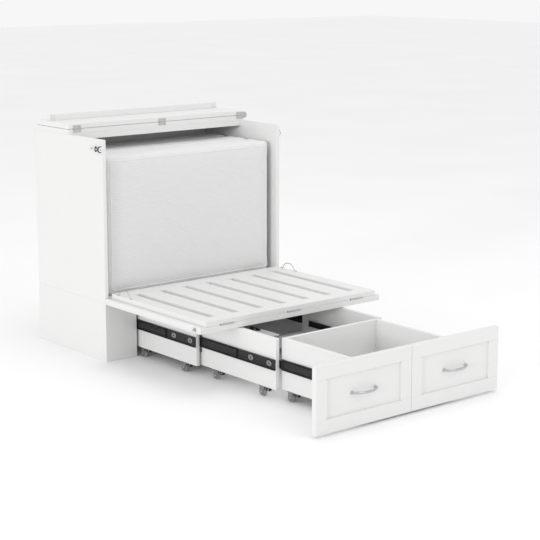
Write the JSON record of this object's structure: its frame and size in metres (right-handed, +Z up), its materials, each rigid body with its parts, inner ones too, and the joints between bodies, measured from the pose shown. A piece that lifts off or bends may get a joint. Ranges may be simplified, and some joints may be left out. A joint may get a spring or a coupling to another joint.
{
  "type": "cabinet bed",
  "caption": "Cabinet bed: chest with a fold-back lid, a fold-down door carrying a folding slatted frame, a tri-fold mattress and telescoping drawer sections on casters.",
  "frame": {"origin": "on the floor, at the middle of the wall side", "axes": "+X to the right as seen from the front, +Y back to the wall, +Z up"},
  "size_m": [1.082, 2.0956, 1.1095],
  "materials": {
    "painted_wood": "satin white paint",
    "mattress_fabric": "woven, finely ribbed",
    "hinge_steel": "satin nickel",
    "bolt_plastic": "moulded",
    "bolt_chrome": "polished nickel",
    "runner_black": "black coated steel",
    "caster_steel": "zinc plated",
    "wheel_plastic": "moulded grey"
  },
  "bodies": {
    "cabinet": {"side_panel_left": "painted_wood", "side_panel_right": "painted_wood", "fixed_top": "painted_wood", "top_front_rail": "painted_wood", "deck": "painted_wood", "back_panel_upper": "painted_wood", "back_panel_lower": "painted_wood", "wall_cleat": "painted_wood", "base_sides": "painted_wood", "leg_boards": "painted_wood", "runner_carriers": "painted_wood", "mattress_front": "mattress_fabric", "mattress_middle": "mattress_fabric", "mattress_rear": "mattress_fabric", "bolt_housings": "bolt_plastic", "bolt_collars": "runner_black", "lid_hinge_fixed_leaves": "hinge_steel", "door_hinge_fixed_leaves": "hinge_steel", "cabinet_runner_rails": "runner_black"},
    "lid": {"lid_board": "painted_wood", "lid_stop_rail": "painted_wood", "lid_hinge_leaves": "hinge_steel"},
    "door": {"door_core": "painted_wood", "door_trim": "painted_wood", "door_keepers": "hinge_steel", "door_hinge_leaves": "hinge_steel"},
    "slat_frame": {"slat_frame_rails": "painted_wood", "slats": "painted_wood", "slat_frame_bails": "hinge_steel", "slat_hinge_leaves": "hinge_steel"},
    "section_1": {"section_1_frame": "painted_wood", "section_1_runner_rails": "runner_black", "section_1_casters": "caster_steel"},
    "section_2": {"section_2_frame": "painted_wood", "section_2_runner_rails": "runner_black", "section_2_casters": "caster_steel"},
    "section_3": {"drawer_box": "painted_wood", "drawer_bottom": "painted_wood", "drawer_front_frames": "painted_wood", "drawer_front_panels": "painted_wood", "drawer_handles": "bolt_chrome", "section_3_runner_rails": "runner_black", "section_3_casters": "caster_steel"},
    "runner_slide_1": {"runner_middle_1": "runner_black"},
    "runner_slide_2": {"runner_middle_2": "runner_black"},
    "runner_slide_3": {"runner_middle_3": "runner_black"},
    "bolt_left": {"door_bolt_left": "bolt_chrome"},
    "bolt_right": {"door_bolt_right": "bolt_chrome"},
    "wheel_1_front_left_body": {"wheel_1_front_left": "wheel_plastic"},
    "wheel_1_front_right_body": {"wheel_1_front_right": "wheel_plastic"},
    "wheel_1_rear_left_body": {"wheel_1_rear_left": "wheel_plastic"},
    "wheel_1_rear_right_body": {"wheel_1_rear_right": "wheel_plastic"},
    "wheel_2_front_left_body": {"wheel_2_front_left": "wheel_plastic"},
    "wheel_2_front_right_body": {"wheel_2_front_right": "wheel_plastic"},
    "wheel_2_rear_left_body": {"wheel_2_rear_left": "wheel_plastic"},
    "wheel_2_rear_right_body": {"wheel_2_rear_right": "wheel_plastic"},
    "wheel_3_front_left_body": {"wheel_3_front_left": "wheel_plastic"},
    "wheel_3_front_right_body": {"wheel_3_front_right": "wheel_plastic"},
    "wheel_3_rear_left_body": {"wheel_3_rear_left": "wheel_plastic"},
    "wheel_3_rear_right_body": {"wheel_3_rear_right": "wheel_plastic"}
  },
  "joints": [
    {"name": "lid_fold", "type": "hinge", "parent": "cabinet", "child": "lid", "pos_m": [0, -0.309, 1.05775], "axis": [1, 0, 0], "range_deg": [0, 180]},
    {"name": "door_fold", "type": "hinge", "parent": "cabinet", "child": "door", "pos_m": [0, -0.596, 0.3007], "axis": [-1, 0, 0], "range_deg": [0, 90]},
    {"name": "slat_frame_fold", "type": "hinge", "parent": "door", "child": "slat_frame", "pos_m": [0, -1.3247, 0.29995], "axis": [-1, 0, 0], "range_deg": [-180, 0]},
    {"name": "section_1_slide", "type": "slide", "parent": "cabinet", "child": "section_1", "axis": [0, 1, 0], "range_m": [0, 0.4495]},
    {"name": "runner_1_follow", "type": "slide", "parent": "cabinet", "child": "runner_slide_1", "axis": [0, 1, 0], "range_m": [0, 0.22475]},
    {"name": "section_2_slide", "type": "slide", "parent": "section_1", "child": "section_2", "axis": [0, 1, 0], "range_m": [0, 0.5195]},
    {"name": "runner_2_follow", "type": "slide", "parent": "section_1", "child": "runner_slide_2", "axis": [0, 1, 0], "range_m": [0, 0.25975]},
    {"name": "section_3_slide", "type": "slide", "parent": "section_2", "child": "section_3", "axis": [0, 1, 0], "range_m": [0, 0.477]},
    {"name": "runner_3_follow", "type": "slide", "parent": "section_2", "child": "runner_slide_3", "axis": [0, 1, 0], "range_m": [0, 0.2385]},
    {"name": "bolt_left_slide", "type": "slide", "parent": "cabinet", "child": "bolt_left", "axis": [0, -1, 0], "range_m": [0, 0.026]},
    {"name": "bolt_right_slide", "type": "slide", "parent": "cabinet", "child": "bolt_right", "axis": [0, -1, 0], "range_m": [0, 0.026]},
    {"name": "wheel_1_front_left_spin", "type": "hinge", "parent": "section_1", "child": "wheel_1_front_left_body", "pos_m": [-0.3275, -0.95, 0.018], "axis": [1, 0, 0], "continuous": true},
    {"name": "wheel_1_front_right_spin", "type": "hinge", "parent": "section_1", "child": "wheel_1_front_right_body", "pos_m": [0.3275, -0.95, 0.018], "axis": [1, 0, 0], "continuous": true},
    {"name": "wheel_1_rear_left_spin", "type": "hinge", "parent": "section_1", "child": "wheel_1_rear_left_body", "pos_m": [-0.3275, -0.626, 0.018], "axis": [1, 0, 0], "continuous": true},
    {"name": "wheel_1_rear_right_spin", "type": "hinge", "parent": "section_1", "child": "wheel_1_rear_right_body", "pos_m": [0.3275, -0.626, 0.018], "axis": [1, 0, 0], "continuous": true},
    {"name": "wheel_2_front_left_spin", "type": "hinge", "parent": "section_2", "child": "wheel_2_front_left_body", "pos_m": [-0.2965, -1.47, 0.018], "axis": [1, 0, 0], "continuous": true},
    {"name": "wheel_2_front_right_spin", "type": "hinge", "parent": "section_2", "child": "wheel_2_front_right_body", "pos_m": [0.2965, -1.47, 0.018], "axis": [1, 0, 0], "continuous": true},
    {"name": "wheel_2_rear_left_spin", "type": "hinge", "parent": "section_2", "child": "wheel_2_rear_left_body", "pos_m": [-0.2965, -1.146, 0.018], "axis": [1, 0, 0], "continuous": true},
    {"name": "wheel_2_rear_right_spin", "type": "hinge", "parent": "section_2", "child": "wheel_2_rear_right_body", "pos_m": [0.2965, -1.146, 0.018], "axis": [1, 0, 0], "continuous": true},
    {"name": "wheel_3_front_left_spin", "type": "hinge", "parent": "section_3", "child": "wheel_3_front_left_body", "pos_m": [-0.2655, -1.947, 0.018], "axis": [1, 0, 0], "continuous": true},
    {"name": "wheel_3_front_right_spin", "type": "hinge", "parent": "section_3", "child": "wheel_3_front_right_body", "pos_m": [0.2655, -1.947, 0.018], "axis": [1, 0, 0], "continuous": true},
    {"name": "wheel_3_rear_left_spin", "type": "hinge", "parent": "section_3", "child": "wheel_3_rear_left_body", "pos_m": [-0.2655, -1.623, 0.018], "axis": [1, 0, 0], "continuous": true},
    {"name": "wheel_3_rear_right_spin", "type": "hinge", "parent": "section_3", "child": "wheel_3_rear_right_body", "pos_m": [0.2655, -1.623, 0.018], "axis": [1, 0, 0], "continuous": true}
  ],
  "couplings": [
    {"joint": "runner_1_follow", "follows": "section_1_slide", "ratio": 0.5},
    {"joint": "runner_2_follow", "follows": "section_2_slide", "ratio": 0.5},
    {"joint": "runner_3_follow", "follows": "section_3_slide", "ratio": 0.5}
  ]
}
